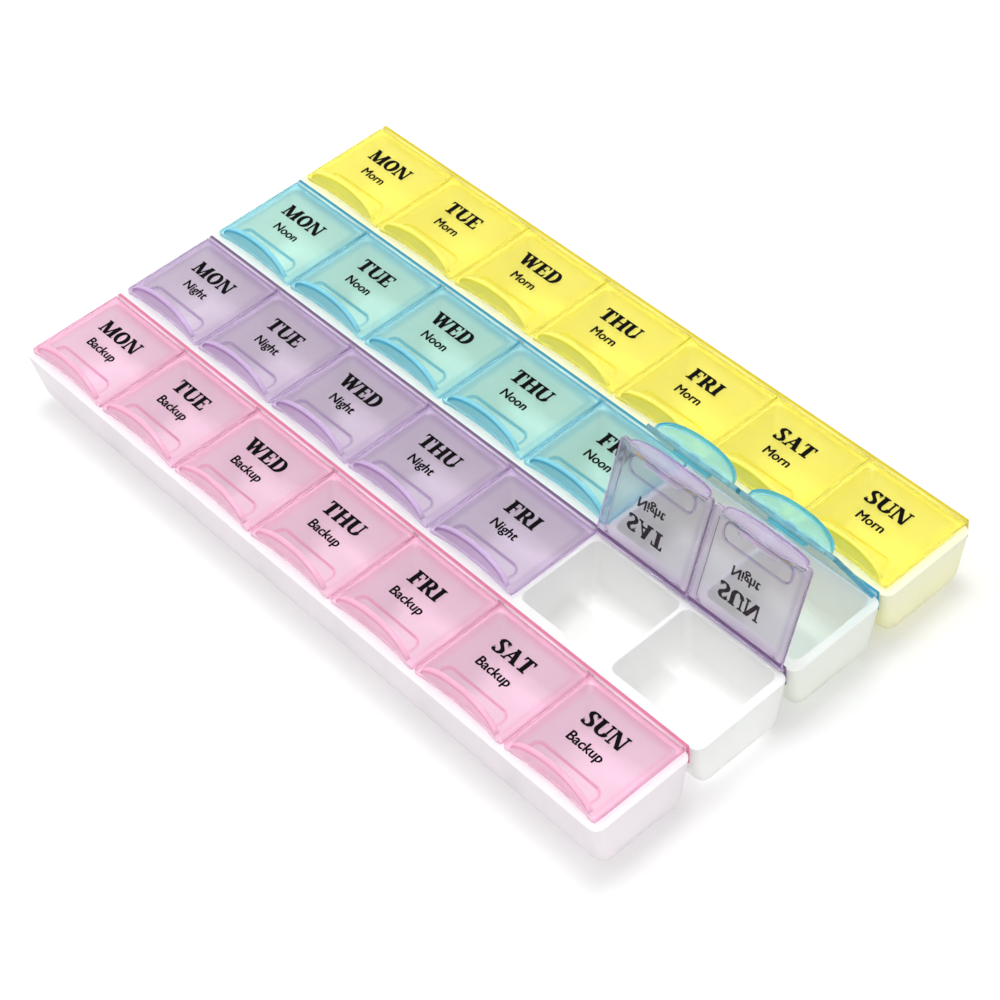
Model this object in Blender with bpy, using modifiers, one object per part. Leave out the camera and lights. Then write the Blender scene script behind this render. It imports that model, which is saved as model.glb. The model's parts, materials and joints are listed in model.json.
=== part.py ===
"""A weekly pill organizer: four clear trays of seven compartments, each tray with a
coloured hinge rail along its back rim and seven lids that fold up from that rail.

+X runs along the week, +Y from the front dose to the back one, +Z up, in metres. The
origin is the middle of the footprint, on the surface that the trays stand on.
"""

import math

import bmesh
import bpy
from mathutils import Matrix, Vector

# The doses run from the front row to the back row, and the days from left to right.
DOSES = ("backup", "night", "noon", "morn")
DAYS = ("mon", "tue", "wed", "thu", "fri", "sat", "sun")

# Clearances.
SEAT_GAP = 0.0003
HINGE_GAP = 0.0003
LID_GAP = 0.0006
CUT_OVERRUN = 0.001
WELD_DISTANCE = 0.00001

# Trays.
COMPARTMENT_PITCH = 0.030
TRAY_HEIGHT = 0.0183
FLOOR_THICKNESS = 0.0013
DIVIDER_THICKNESS = 0.0012
END_WALL = 0.0024
FRONT_LEDGE = 0.0030
BACK_RIM = 0.0013
SIDE_WALL_FOOT = 0.0012
TRAY_SIDE_DRAFT = 0.0026
TRAY_END_DRAFT = 0.0014
DIVIDER_DRAFT = 0.0009
TRAY_FOOT_RADIUS = 0.0052
TRAY_CORNER_RADIUS = 0.0026
CELL_FOOT_RADIUS = 0.0044
CELL_CORNER_RADIUS = 0.0022

# Lids. The front corners reach furthest forward, and the front edge hollows in between.
LID_DEPTH = 0.0276
LID_THICKNESS = 0.0013
LID_FRONT_MARGIN = 0.00115
LID_CORNER_RADIUS = 0.0012
FRONT_HOLLOW = 0.0012
LID_BORDER = 0.0017
PANEL_RECESS = 0.0003
PANEL_CORNER_RADIUS = 0.0012
BACK_BORDER = 0.0013

# The thumb recess lies behind the tab, cut deeper than the panel round it.
POCKET_WIDTH = 0.0218
POCKET_REACH = 0.0066
POCKET_RECESS = 0.00075
POCKET_CORNER_RADIUS = 0.0021
FRONT_BAND = 0.0020

# The thumb tab stands on the front edge, with a thicker bead round its arc.
TAB_WIDTH = 0.0250
TAB_HEIGHT = 0.0048
TAB_THICKNESS = 0.0009
TAB_SETBACK = 0.0002
TAB_END_HEIGHT = 0.0004
TAB_ROOT = 0.0010
TAB_BEAD = 0.0004
TAB_BEAD_HEIGHT = 0.0008

# The snap under the front edge drops inside the tray's front ledge.
SNAP_LENGTH = 0.0120
SNAP_DEPTH = 0.0010
SNAP_THICKNESS = 0.0011
SNAP_TAPER = 0.0003
SNAP_ROOT = 0.0003

# Hinge rails, hooked over the trays' back rims.
RAIL_WIDTH = 0.0012
RAIL_LEG_THICKNESS = 0.0006
RAIL_LEG_DEPTH = 0.0050
RAIL_HOOK = 0.0004
RAIL_HOOK_HEIGHT = 0.0007
RAIL_ROUND = 0.0003

# Angles, in degrees from closed. The stop is where a lid's web is folded right back.
LID_STOP_ANGLE = 112.0
NIGHT_OPEN_ANGLE = LID_STOP_ANGLE
NOON_OPEN_ANGLE = 61.0
OPEN_ANGLES = {
    ("night", "sat"): NIGHT_OPEN_ANGLE,
    ("night", "sun"): NIGHT_OPEN_ANGLE,
    ("noon", "sat"): NOON_OPEN_ANGLE,
    ("noon", "sun"): NOON_OPEN_ANGLE,
}

# Facets on the round stretches.
FOOT_SEGMENTS = 3
CORNER_SEGMENTS = 2
FRONT_EDGE_STEPS = 6
TAB_STEPS = 8
TAB_SQUARENESS = 2.2

# A corner's radius is at most this share of the shorter side.
ROUND_LIMIT_SHARE = 0.46

# Colours: linear RGB with alpha.
TRAY_COLOUR = (0.86, 0.87, 0.88, 1.0)
DOSE_COLOURS = {
    "backup": (0.88, 0.45, 0.62, 1.0),
    "night": (0.50, 0.38, 0.62, 1.0),
    "noon": (0.25, 0.66, 0.76, 1.0),
    "morn": (0.94, 0.86, 0.06, 1.0),
}
PLASTIC_ROUGHNESS = 0.28
TRAY_ROUGHNESS = 0.32
SMOOTH_ANGLE = math.radians(40.0)

# Places along a row, from the tray's front rim.
HINGE_Y = LID_FRONT_MARGIN + LID_DEPTH
RAIL_BACK_Y = HINGE_Y + HINGE_GAP / 2 + RAIL_WIDTH
TRAY_WIDTH = RAIL_BACK_Y - RAIL_LEG_THICKNESS - SEAT_GAP
ROW_PITCH = RAIL_BACK_Y + SEAT_GAP
LID_TOP = TRAY_HEIGHT + SEAT_GAP + LID_THICKNESS
LID_WIDTH = COMPARTMENT_PITCH - LID_GAP
CELL_WIDTH = COMPARTMENT_PITCH - DIVIDER_THICKNESS
ROW_LENGTH = len(DAYS) * COMPARTMENT_PITCH
TRAY_LENGTH = ROW_LENGTH - DIVIDER_THICKNESS + 2 * END_WALL
FOOTPRINT_DEPTH = (len(DOSES) - 1) * ROW_PITCH + RAIL_BACK_Y

# Turns an outline's own plane across the row, so that it's extruded along it.
DRAWN_ALONG_X = Matrix(((0, 0, 1, 0), (1, 0, 0, 0), (0, 1, 0, 0), (0, 0, 0, 1)))


def row_front(row):
    """The y of a row's front rim."""
    return row * ROW_PITCH - FOOTPRINT_DEPTH / 2


def column_middle(column):
    """The x of the middle of a day's compartment."""
    return (column - (len(DAYS) - 1) / 2) * COMPARTMENT_PITCH


def clear_scene():
    for old in list(bpy.data.objects):
        bpy.data.objects.remove(old)


def new_collection(name):
    collection = bpy.data.collections.new(name)
    bpy.context.scene.collection.children.link(collection)
    return collection


def plastic(name, colour, roughness):
    material = bpy.data.materials.new(name)
    material.use_nodes = True
    shader = material.node_tree.nodes["Principled BSDF"]
    shader.inputs["Base Color"].default_value = colour
    shader.inputs["Roughness"].default_value = roughness
    shader.inputs["Metallic"].default_value = 0.0
    return material


def helper(name, mesh, collection):
    """An object that only lends its shape to others."""
    made = bpy.data.objects.new(name, mesh)
    made.hide_render = True
    made.display_type = "WIRE"
    collection.objects.link(made)
    return made


def baked(source, name):
    """The mesh of an object as its modifiers leave it, in world space, shaded smooth over its rounds."""
    bpy.context.view_layer.update()
    graph = bpy.context.evaluated_depsgraph_get()
    mesh = bpy.data.meshes.new_from_object(source.evaluated_get(graph))
    mesh.name = name
    mesh.transform(source.matrix_world)
    weld(mesh)
    mesh.shade_smooth()
    mesh.set_sharp_from_angle(angle=SMOOTH_ANGLE)
    return mesh


def weld(mesh):
    sheet = bmesh.new()
    sheet.from_mesh(mesh)
    bmesh.ops.remove_doubles(sheet, verts=sheet.verts, dist=WELD_DISTANCE)
    bmesh.ops.recalc_face_normals(sheet, faces=sheet.faces)
    sheet.to_mesh(mesh)
    sheet.free()


def outline_solid(name, points, thickness, placing, collection):
    """A flat outline extruded by a thickness about its own plane, then placed."""
    curve = bpy.data.curves.new(name, "CURVE")
    curve.dimensions = "2D"
    curve.fill_mode = "BOTH"
    curve.extrude = thickness / 2
    spline = curve.splines.new("POLY")
    spline.points.add(len(points) - 1)
    for point, (across, along) in zip(spline.points, points):
        point.co = (across, along, 0.0, 1.0)
    spline.use_cyclic_u = True
    drawn = bpy.data.objects.new(name + "_outline", curve)
    collection.objects.link(drawn)
    drawn.matrix_world = placing
    mesh = baked(drawn, name)
    bpy.data.objects.remove(drawn)
    return helper(name, mesh, collection)


def join_by(target, operation, *others):
    """Adds one Boolean for each of the other objects."""
    for other in others:
        modifier = target.modifiers.new(other.name, "BOOLEAN")
        modifier.operation = operation
        modifier.solver = "EXACT"
        modifier.object = other


def rounded_outline(low, high, radius, steps):
    """A rectangle's points, counter-clockwise, with an arc at each corner."""
    points = []
    radius = min(radius, ROUND_LIMIT_SHARE * min(high[0] - low[0], high[1] - low[1]))
    corners = (
        (high[0] - radius, high[1] - radius, 0),
        (low[0] + radius, high[1] - radius, 1),
        (low[0] + radius, low[1] + radius, 2),
        (high[0] - radius, low[1] + radius, 3),
    )
    for centre_x, centre_y, quarter in corners:
        for step in range(steps + 1):
            angle = (quarter + step / steps) * math.pi / 2
            points.append((centre_x + radius * math.cos(angle), centre_y + radius * math.sin(angle)))
    return points


def tapered_block(name, foot, top, foot_radius, corner_radius, collection):
    """A box whose foot and top rectangles differ, rounded round its foot and up its corners.

    foot and top are each (low x, high x, low y, high y, z).
    """
    form = bmesh.new()
    bmesh.ops.create_cube(form, size=1.0)
    for vert in form.verts:
        low_x, high_x, low_y, high_y, level = top if vert.co.z > 0 else foot
        across = high_x if vert.co.x > 0 else low_x
        along = high_y if vert.co.y > 0 else low_y
        vert.co = Vector((across, along, level))
    middle = (foot[4] + top[4]) / 2
    weights = form.edges.layers.float.new("bevel_weight_edge")
    for edge in form.edges:
        ends_up = sum(vert.co.z > middle for vert in edge.verts)
        if ends_up == 0:
            edge[weights] = 1.0
        elif ends_up == 1:
            edge[weights] = corner_radius / foot_radius
    mesh = bpy.data.meshes.new(name)
    form.to_mesh(mesh)
    form.free()
    block = helper(name, mesh, collection)
    bevel = block.modifiers.new("rounds", "BEVEL")
    bevel.limit_method = "WEIGHT"
    bevel.width = foot_radius
    bevel.segments = FOOT_SEGMENTS
    return block


def at_level(foot, top, level):
    """The rectangle of a tapered block at another level, on the same slopes."""
    share = (level - foot[4]) / (top[4] - foot[4])
    return tuple(low + (high - low) * share for low, high in zip(foot, top))


def cell_cutter(column, collection):
    """The space of one compartment, cut through the rim."""
    middle = column_middle(column)
    half = CELL_WIDTH / 2
    foot_front = TRAY_SIDE_DRAFT + SIDE_WALL_FOOT
    top = (middle - half, middle + half, FRONT_LEDGE, TRAY_WIDTH - BACK_RIM, TRAY_HEIGHT)
    foot = (
        middle - half + DIVIDER_DRAFT,
        middle + half - DIVIDER_DRAFT,
        foot_front,
        TRAY_WIDTH - foot_front,
        FLOOR_THICKNESS,
    )
    above = at_level(foot, top, TRAY_HEIGHT + CUT_OVERRUN)
    name = "cell_" + DAYS[column]
    return tapered_block(name, foot, above, CELL_FOOT_RADIUS, CELL_CORNER_RADIUS, collection)


def tray_mesh(collection):
    """One tray, with its front rim at y = 0."""
    half = TRAY_LENGTH / 2
    top = (-half, half, 0.0, TRAY_WIDTH, TRAY_HEIGHT)
    foot = (
        -half + TRAY_END_DRAFT,
        half - TRAY_END_DRAFT,
        TRAY_SIDE_DRAFT,
        TRAY_WIDTH - TRAY_SIDE_DRAFT,
        0.0,
    )
    block = tapered_block("tray_block", foot, top, TRAY_FOOT_RADIUS, TRAY_CORNER_RADIUS, collection)
    join_by(block, "DIFFERENCE", *[cell_cutter(column, collection) for column in range(len(DAYS))])
    return baked(block, "tray")


def rail_mesh(collection):
    """One hinge rail: a flange level with the lids, and a leg that hooks down behind the tray's rim.

    The outline is drawn across the row, with the hinge axis at y = 0 and z = 0.
    """
    front = HINGE_GAP / 2
    back = front + RAIL_WIDTH
    leg_front = back - RAIL_LEG_THICKNESS
    foot = -LID_THICKNESS - RAIL_LEG_DEPTH
    outline = [
        (front, 0.0),
        (front, -LID_THICKNESS),
        (leg_front, -LID_THICKNESS),
        (leg_front, foot + 2 * RAIL_HOOK_HEIGHT),
        (leg_front - RAIL_HOOK, foot + RAIL_HOOK_HEIGHT),
        (leg_front, foot),
        (back, foot),
        (back, -RAIL_ROUND),
        (back - RAIL_ROUND, 0.0),
    ]
    length = ROW_LENGTH - LID_GAP
    strip = outline_solid("rail_strip", outline, length, DRAWN_ALONG_X, collection)
    return baked(strip, "hinge_rail")


def front_edge(across):
    """How far back from the front corners a lid's front edge lies."""
    share = across / (LID_WIDTH / 2)
    return FRONT_HOLLOW * (1 - share * share)


def lid_outline():
    """The plan of a lid, from its back edge round to its hollowed front edge."""
    half = LID_WIDTH / 2
    back = -HINGE_GAP / 2
    reach = half - LID_CORNER_RADIUS
    points = [(half, back), (-half, back)]
    for step in range(CORNER_SEGMENTS + 1):
        angle = math.pi + step / CORNER_SEGMENTS * math.pi / 2
        lift = front_edge(reach)
        points.append(
            (
                -reach + LID_CORNER_RADIUS * math.cos(angle),
                -LID_DEPTH + lift + LID_CORNER_RADIUS * (1 + math.sin(angle)),
            )
        )
    for step in range(1, FRONT_EDGE_STEPS):
        across = -reach + 2 * reach * step / FRONT_EDGE_STEPS
        points.append((across, -LID_DEPTH + front_edge(across)))
    left_side = points[2 : 3 + CORNER_SEGMENTS]
    points += [(-across, along) for across, along in reversed(left_side)]
    return points


def recess_cutter(name, half_width, front, back, depth, radius, collection):
    """A rounded pocket cut down from a lid's top face."""
    outline = rounded_outline((-half_width, front), (half_width, back), radius, CORNER_SEGMENTS)
    thickness = depth + CUT_OVERRUN
    placing = Matrix.Translation((0.0, 0.0, thickness / 2 - depth))
    return outline_solid(name, outline, thickness, placing, collection)


def tab_section(across):
    """The ring of a thumb tab at one place along its width: its web, with a bead round the arc."""
    share = abs(across) / (TAB_WIDTH / 2)
    arc = math.sqrt(max(0.0, 1 - share**TAB_SQUARENESS))
    top = TAB_END_HEIGHT + (TAB_HEIGHT - TAB_END_HEIGHT) * arc
    bead_foot = top - TAB_BEAD_HEIGHT
    face = -LID_DEPTH + front_edge(across) + TAB_SETBACK
    ring = (
        (0.0, -TAB_ROOT),
        (0.0, top),
        (TAB_THICKNESS + TAB_BEAD, top),
        (TAB_THICKNESS + TAB_BEAD, bead_foot),
        (TAB_THICKNESS, bead_foot - TAB_BEAD / 2),
        (TAB_THICKNESS, -TAB_ROOT),
    )
    return [Vector((across, face + behind, level)) for behind, level in ring]


def tab_block(collection):
    """The thumb tab, lofted from its sections."""
    form = bmesh.new()
    rings = []
    for step in range(TAB_STEPS + 1):
        across = -TAB_WIDTH / 2 * math.cos(step / TAB_STEPS * math.pi)
        rings.append([form.verts.new(point) for point in tab_section(across)])
    for left, right in zip(rings, rings[1:]):
        for index, corner in enumerate(left):
            after = (index + 1) % len(left)
            form.faces.new((corner, right[index], right[after], left[after]))
    form.faces.new(rings[0])
    form.faces.new(reversed(rings[-1]))
    bmesh.ops.recalc_face_normals(form, faces=form.faces)
    mesh = bpy.data.meshes.new("lid_tab")
    form.to_mesh(mesh)
    form.free()
    return helper("lid_tab", mesh, collection)


def snap_block(collection):
    """The snap under the front edge: a short bar, narrower at its foot."""
    front = FRONT_LEDGE + SEAT_GAP - HINGE_Y
    back = front + SNAP_THICKNESS
    foot = -LID_THICKNESS - SNAP_DEPTH
    outline = [
        (front, -LID_THICKNESS + SNAP_ROOT),
        (front, foot + SNAP_TAPER),
        (front + SNAP_TAPER, foot),
        (back - SNAP_TAPER, foot),
        (back, -LID_THICKNESS + SNAP_ROOT),
    ]
    return outline_solid("lid_snap", outline, SNAP_LENGTH, DRAWN_ALONG_X, collection)


def lid_mesh(collection):
    """One lid, closed, with its hinge axis along X at the origin and its top face at z = 0."""
    plate_middle = Matrix.Translation((0.0, 0.0, -LID_THICKNESS / 2))
    plate = outline_solid("lid_plate", lid_outline(), LID_THICKNESS, plate_middle, collection)
    front = -LID_DEPTH + FRONT_BAND
    half_panel = LID_WIDTH / 2 - LID_BORDER
    panel_back = -HINGE_GAP / 2 - BACK_BORDER
    panel = recess_cutter(
        "panel_cut", half_panel, front, panel_back, PANEL_RECESS, PANEL_CORNER_RADIUS, collection
    )
    pocket_back = -LID_DEPTH + POCKET_REACH
    pocket = recess_cutter(
        "pocket_cut", POCKET_WIDTH / 2, front, pocket_back, POCKET_RECESS, POCKET_CORNER_RADIUS, collection
    )
    join_by(plate, "DIFFERENCE", panel, pocket)
    join_by(plate, "UNION", tab_block(collection), snap_block(collection))
    return baked(plate, "lid")


def place(name, mesh, material, location, opened, collection):
    """A part from a shared mesh, with its own material, turned up by an angle about its hinge."""
    part = bpy.data.objects.new(name, mesh)
    if not mesh.materials:
        mesh.materials.append(None)
    part.material_slots[0].link = "OBJECT"
    part.material_slots[0].material = material
    part.location = location
    part.rotation_euler = (-math.radians(opened), 0.0, 0.0)
    collection.objects.link(part)
    return part


def build():
    clear_scene()
    parts = new_collection("pill_organizer")
    helpers = new_collection("helpers")
    tray = tray_mesh(helpers)
    rail = rail_mesh(helpers)
    lid = lid_mesh(helpers)
    for row, dose in enumerate(DOSES):
        front = row_front(row)
        hinge = (0.0, front + HINGE_Y, LID_TOP)
        clear = plastic(dose + "_tray_plastic", TRAY_COLOUR, TRAY_ROUGHNESS)
        place(dose + "_tray", tray, clear, (0.0, front, 0.0), 0.0, parts)
        tinted = plastic(dose + "_plastic", DOSE_COLOURS[dose], PLASTIC_ROUGHNESS)
        place(dose + "_hinge_rail", rail, tinted, hinge, 0.0, parts)
        for column, day in enumerate(DAYS):
            opened = OPEN_ANGLES.get((dose, day), 0.0)
            location = (column_middle(column), hinge[1], hinge[2])
            place(dose + "_lid_" + day, lid, tinted, location, opened, parts)


build()
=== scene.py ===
"""Looks for a weekly pill organizer: frosted trays, tinted lids with thumb tabs, hinge
strips with their bending webs, and plain day and dose words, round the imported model.

Metres, +X along the week, +Y from the front dose to the back one, +Z up.
"""

import json
import math

import bmesh
import bpy
from mathutils import Matrix, Vector
from mathutils.geometry import delaunay_2d_cdt
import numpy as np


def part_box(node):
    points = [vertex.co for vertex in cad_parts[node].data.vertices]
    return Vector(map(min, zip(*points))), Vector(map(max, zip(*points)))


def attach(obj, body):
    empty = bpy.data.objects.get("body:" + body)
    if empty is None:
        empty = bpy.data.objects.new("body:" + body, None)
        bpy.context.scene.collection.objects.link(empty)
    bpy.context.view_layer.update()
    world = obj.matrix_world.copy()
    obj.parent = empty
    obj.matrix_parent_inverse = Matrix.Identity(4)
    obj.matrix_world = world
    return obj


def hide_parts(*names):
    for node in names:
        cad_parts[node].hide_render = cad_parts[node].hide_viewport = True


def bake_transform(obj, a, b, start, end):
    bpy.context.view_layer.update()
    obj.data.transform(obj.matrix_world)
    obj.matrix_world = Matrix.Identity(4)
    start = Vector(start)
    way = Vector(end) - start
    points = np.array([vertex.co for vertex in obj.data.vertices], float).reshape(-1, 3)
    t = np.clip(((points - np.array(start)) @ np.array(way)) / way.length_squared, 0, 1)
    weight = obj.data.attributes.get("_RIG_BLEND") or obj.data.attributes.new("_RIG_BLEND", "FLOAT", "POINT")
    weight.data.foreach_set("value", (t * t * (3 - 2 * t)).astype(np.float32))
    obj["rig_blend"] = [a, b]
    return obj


MM = 0.001

# Rows of compartments, from the front: the word on their lids and the record's slot.
DOSES = {
    "backup": ("Backup", "pink_lid"),
    "night": ("Night", "lilac_lid"),
    "noon": ("Noon", "blue_lid"),
    "morn": ("Morn", "yellow_lid"),
}
DAYS = ("mon", "tue", "wed", "thu", "fri", "sat", "sun")

# Lids, as moulded. What isn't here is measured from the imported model.
LID_THICKNESS = 1.3 * MM
LID_CORNER_RADIUS = 1.2 * MM
FRONT_HOLLOW = 1.2 * MM
LID_BORDER = 1.7 * MM
BACK_BORDER = 1.3 * MM
PANEL_RECESS = 0.3 * MM
PANEL_CORNER_RADIUS = 1.2 * MM
POCKET_WIDTH = 21.0 * MM
POCKET_REACH = 7.2 * MM
POCKET_RECESS = 0.75 * MM
POCKET_CORNER_RADIUS = 2.1 * MM
POCKET_CORNER_STEP = POCKET_CORNER_RADIUS / 3
FRONT_BAND = 2.0 * MM
RIM_ROUND = 0.22 * MM
WALL_RUN = 0.3 * MM
LINE_REACH = 0.5 * MM
SNAP_LENGTH = 12.0 * MM
SNAP_THICKNESS = 1.1 * MM
SNAP_FROM_FRONT = 2.15 * MM
SNAP_ROUND_SHARE = 0.4

# Thumb tabs.
TAB_WIDTH = 25.0 * MM
TAB_THICKNESS = 0.9 * MM
TAB_SETBACK = 0.2 * MM
TAB_END_HEIGHT = 0.4 * MM
TAB_ROOT = 1.0 * MM
TAB_BEAD = 0.4 * MM
TAB_BEAD_HEIGHT = 0.8 * MM
TAB_SQUARENESS = 2.2
TAB_STEPS = 32
TAB_ROUND = 0.2 * MM

# Trays.
FLOOR_THICKNESS = 1.3 * MM
DIVIDER_THICKNESS = 1.2 * MM
FRONT_LEDGE = 3.0 * MM
BACK_RIM = 1.3 * MM
SIDE_WALL_FOOT = 1.2 * MM
TRAY_SIDE_DRAFT = 2.6 * MM
TRAY_END_DRAFT = 1.4 * MM
DIVIDER_DRAFT = 0.9 * MM
TRAY_FOOT_RADIUS = 5.2 * MM
TRAY_CORNER_RADIUS = 2.6 * MM
CELL_FOOT_RADIUS = 4.4 * MM
CELL_CORNER_RADIUS = 2.2 * MM
TRAY_ROUND_SEGMENTS = 7
TRAY_EDGE_ROUND = 0.25 * MM
CUT_OVERRUN = 1.0 * MM

# Hinge webs.
WEB_THICKNESS = 0.25 * MM
WEB_LAP = 0.1 * MM
WEB_SIDE_GAP = 0.8 * MM
WEB_SINK = 0.02 * MM
WEB_STEPS = 6

# Words, from a lid's front corner line and its left edge.
DAY_BASELINE = 16.7 * MM
DAY_CAP_HEIGHT = 4.25 * MM
DOSE_BASELINE = 11.5 * MM
DOSE_CAP_HEIGHT = 2.55 * MM
DOSE_SHIFTS = ((0.11 * MM, 0.08 * MM), (0.22 * MM, 0.0), (0.11 * MM, -0.08 * MM))
INK_THICKNESS = 0.05 * MM
INK_SINK = 0.02 * MM

# Steps and rounds of the fine meshes.
FINE_STEP = 0.1 * MM
COARSE_STEP = 3.0 * MM
STEP_GROWTH_SHARE = 0.9
ROUND_STEPS = 3
ARC_STEPS = 14
WELD = 0.001 * MM
EDGE_ANGLE = math.radians(50.0)
SMOOTH_ANGLE = math.radians(35.0)
RAIL_ROUND = 0.12 * MM

# How deep the colour looks on parts of a lid, from 0 on the panel to 1 in its beads. The lines on the recess
# walls carry painted shade as well.
TAB_DEPTH_SHARE = 0.12
TAB_LINE_DROP = 0.6 * MM
TAB_LINE_REACH = 0.95 * MM
TAB_LINE_LOWEST = -TAB_ROOT / 4
TAB_LINE_FOOT_LOWEST = -TAB_ROOT / 2
TAB_BACK_SHARE = 0.3
TAB_FOOT_FADE = 1.4 * MM
BORDER_DEPTH_SHARE = 0.15
# The lines on the panel's and the pocket's walls are deep colour and painted shade of the recesses.
PANEL_LINE_SHARE = 0.45
POCKET_LINE_SHARE = 0.9
RIM_DEPTH_SHARE = 0.7
RIM_REACH = 0.5 * MM

# How milky the plastic looks on parts of a lid, and factors on a standing lid's milk and depth, which give
# the standing lids colours of their own, painted for how they are lit.
FRONT_MILK_REACH = 0.25 * MM
RIM_MILK = 0.65
TAB_MILK = 0.8
OPEN_MILK = {"night": 0.45, "noon": 0.55}
OPEN_DEPTH = {"night": 1.0, "noon": 1.9}

# Letters, in shares of their height.
STEM = 0.25
HAIRLINE = 0.11
STEM_X = 0.17
SERIF_REACH = 0.07
PEN_SHARPNESS = 1.3
WEDGE_TAPER = 3
LETTER_STRETCH = 1.2
LETTER_GAP = 0.03
WORDS_OFFSET = -1.3 * MM
TEXT_STEPS = 4
CDT_INSIDE = 1
CDT_MERGE = 0.0001

# Finishes. Colours are linear.
PLASTIC_IOR = 1.25
CLOUD_SIZE = 9.0 * MM
CLOUD_DETAIL = 2.0
RIPPLE_SIZE = 4.0 * MM
RIPPLE_DETAIL = 1.0
RIPPLE_HEIGHT = 0.02 * MM
LAMP_SHARE = 0.65
TRAY_LAMP_SHARE = 0.7

# Lids and rails. A look is the thin panel's colour, the deep edges' colour and the clearness.
# Milky parts take the tab faces' colours below: milky tints made lighter, as painted light against the shade
# on the tabs' front faces.
PALE_SIZE = 6.0 * MM
PALE_SHARE = 0.15
MILK_CLEARNESS_SHARE = 0.55
RAIL_CLEARNESS = 0.4
# Each rail has a line of deep colour and painted shade along its back, for the hinge's groove: its place
# behind the hinge, half width, fade and colours.
RAIL_SHADE_BEHIND = 0.8 * MM
RAIL_SHADE_HALF = 0.35 * MM
RAIL_SHADE_FADE = 0.25 * MM
RAIL_SHADE_LINES = {
    "backup": (0.88, 0.26, 0.44, 1.0),
    "night": (0.26, 0.15, 0.31, 1.0),
    "noon": (0.05, 0.40, 0.62, 1.0),
    "morn": (0.78, 0.66, 0.02, 1.0),
}
# Tab faces' colours: milky tints made lighter than the panels, as painted light against the shade on the
# tabs' front faces.
LIGHTENED_TAB_FACES = {
    "backup": (1.0, 0.74, 0.86, 1.0),
    "night": (0.92, 0.78, 1.0, 1.0),
    "noon": (0.45, 0.92, 1.0, 1.0),
    "morn": (1.0, 1.0, 0.30, 1.0),
}
LID_ROUGHNESS = (0.14, 0.22)
LID_LOOKS = {
    "backup": ((0.92, 0.74, 0.83, 1.0), (0.92, 0.36, 0.58, 1.0), 0.93),
    "night": ((0.77, 0.685, 0.80, 1.0), (0.46, 0.28, 0.60, 1.0), 0.97),
    "noon": ((0.65, 0.89, 0.87, 1.0), (0.05, 0.48, 0.74, 1.0), 0.93),
    "morn": ((0.98, 0.92, 0.27, 1.0), (1.0, 0.90, 0.12, 1.0), 0.85),
}

# Trays. A look is the colour at the rim, the colour at the foot and the clearness. Both colours hold painted
# light, tinted by the lids it came through, most at the foot.
TRAY_ROUGHNESS = (0.26, 0.38)
TRAY_LOOKS = {
    "backup": ((0.97, 0.94, 0.96, 1.0), (0.96, 0.92, 0.95, 1.0), 0.3),
    "night": ((0.94, 0.95, 0.94, 1.0), (0.94, 0.94, 0.93, 1.0), 0.3),
    "noon": ((0.95, 0.97, 0.93, 1.0), (0.94, 0.96, 0.88, 1.0), 0.3),
    "morn": ((0.97, 0.97, 0.82, 1.0), (0.97, 0.96, 0.66, 1.0), 0.3),
}

# Ink.
INK_DARK = (0.001, 0.001, 0.001, 1.0)
INK_LIGHT = (0.005, 0.004, 0.005, 1.0)
INK_WEAR_SIZE = 0.4 * MM
INK_WEAR_DETAIL = 3.0
INK_ROUGHNESS = (0.5, 0.7)
INK_GLOSS = 0.03

# Studio. A lamp is its name, place, size and power.
WHITE = (1.0, 1.0, 1.0, 1.0)
FLOOR_SIZE = 6.0
FLOOR_COLOUR = (0.8, 0.8, 0.8, 1.0)
FLOOR_ROUGHNESS = 0.7
FLOOR_LIFT = 0.04
WORLD_LIGHT = 0.62
BOUNCES = {
    "max_bounces": 16,
    "diffuse_bounces": 8,
    "transmission_bounces": 16,
    "transparent_max_bounces": 24,
}
LAMPS = (
    ("key", (-0.12, 0.18, 1.4), 0.6, 10.3),
    ("fill", (-0.7, -0.4, 1.2), 0.8, 3.1),
    ("side", (0.9, -0.3, 0.8), 0.6, 1.9),
)

# The camera that took the photograph, fitted to the lids' corners.
CAMERA_AZIMUTH = -52.975
CAMERA_ELEVATION = 47.442
CAMERA_ROLL = -6.844
CAMERA_TARGET = Vector((6.691 * MM, 0.09 * MM, 0.0))
CAMERA_DISTANCE = 654.728 * MM
CAMERA_LENS = 95.13
SENSOR_WIDTH = 36.0
CLIP_RANGE = 100.0

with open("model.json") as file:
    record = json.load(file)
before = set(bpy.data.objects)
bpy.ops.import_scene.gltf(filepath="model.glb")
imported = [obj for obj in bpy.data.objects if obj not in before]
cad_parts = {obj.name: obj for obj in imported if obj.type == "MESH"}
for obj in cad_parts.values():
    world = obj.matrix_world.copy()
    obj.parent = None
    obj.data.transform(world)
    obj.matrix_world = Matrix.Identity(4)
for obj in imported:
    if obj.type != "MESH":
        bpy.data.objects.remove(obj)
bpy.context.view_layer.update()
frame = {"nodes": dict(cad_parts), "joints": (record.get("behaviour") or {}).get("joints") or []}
HINGES = {joint["child"]: joint for joint in frame["joints"]}


def lid_name(dose, day):
    return dose + "_lid_" + day


def hinge_point(lid):
    return Vector(HINGES[lid]["pos_m"])


def rest_angle(lid):
    """How far a lid stands open in the model at rest, in degrees."""
    return -HINGES[lid]["range_deg"][0]


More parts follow.
